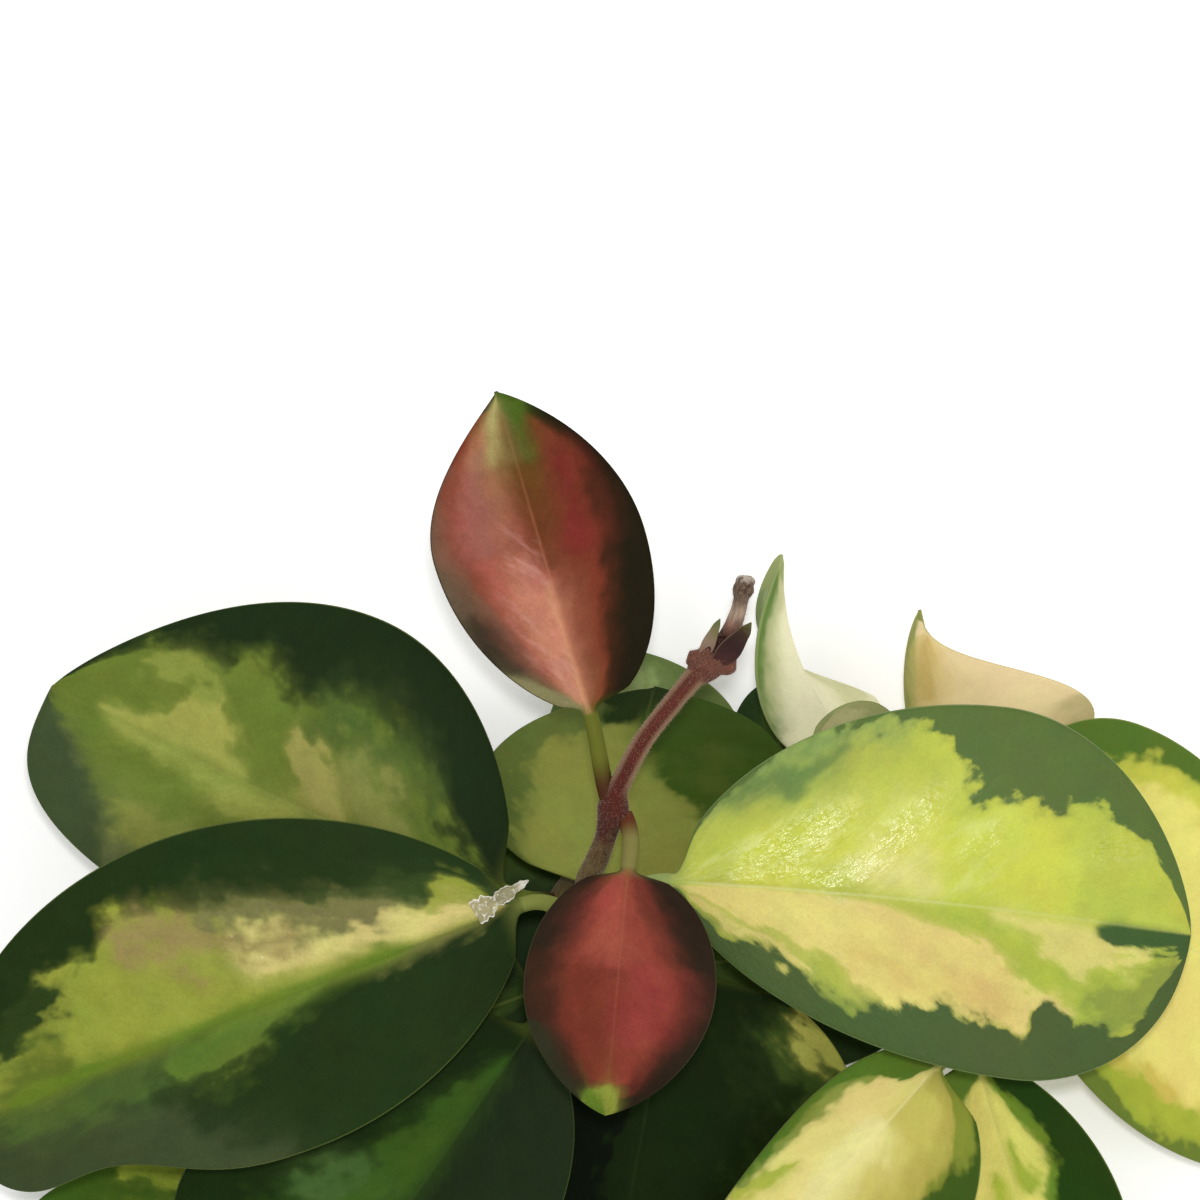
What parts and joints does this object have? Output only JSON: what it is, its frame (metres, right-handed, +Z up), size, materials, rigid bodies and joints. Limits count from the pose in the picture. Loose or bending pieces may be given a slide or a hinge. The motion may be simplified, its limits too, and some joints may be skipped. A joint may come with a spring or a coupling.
{
  "type": "variegated climbing vine cutting",
  "caption": "Cut length of a climbing vine with thick waxy tricolour leaves in opposite pairs, red young leaves at its tip, and a short flower stalk.",
  "frame": {"origin": "on the surface that the vine lies on, under the middle of its box", "axes": "+Z is up from the surface; +X runs along the greatest reach of the leaves; +Y points to the growing tip, and -Y to the cut end"},
  "size_m": [0.2553, 0.2046, 0.0612],
  "materials": {
    "green_leaf": "waxy semi-gloss, green margins with lime bands",
    "cream_leaf": "waxy semi-gloss, cream middle with green margins",
    "young_leaf": "soft satin, crimson middle with dark margins",
    "bark": "matt, finely fuzzy on young wood",
    "husk": "dry, thin and crumpled"
  },
  "bodies": {
    "root": {"vine_stem": "bark", "dried_flake": "husk", "leaf_young_upper": "young_leaf", "leaf_young_lower": "young_leaf", "leaf_upper_left": "green_leaf", "leaf_large_left": "green_leaf", "leaf_large_right": "cream_leaf", "leaf_middle_back": "green_leaf", "leaf_back_top": "green_leaf", "leaf_curled_left": "cream_leaf", "leaf_curled_right": "cream_leaf", "leaf_small_end": "green_leaf", "leaf_behind_curl": "green_leaf", "leaf_far_right": "cream_leaf", "leaf_lower_yellow": "cream_leaf", "leaf_lower_right": "cream_leaf", "leaf_lower_left": "green_leaf", "leaf_lower_corner": "green_leaf", "leaf_centre_dark": "green_leaf", "leaf_low_right": "green_leaf", "leaf_low_left": "green_leaf", "leaf_back_low_left": "green_leaf", "leaf_back_right": "green_leaf", "leaf_back_left": "green_leaf"}
  },
  "joints": []
}
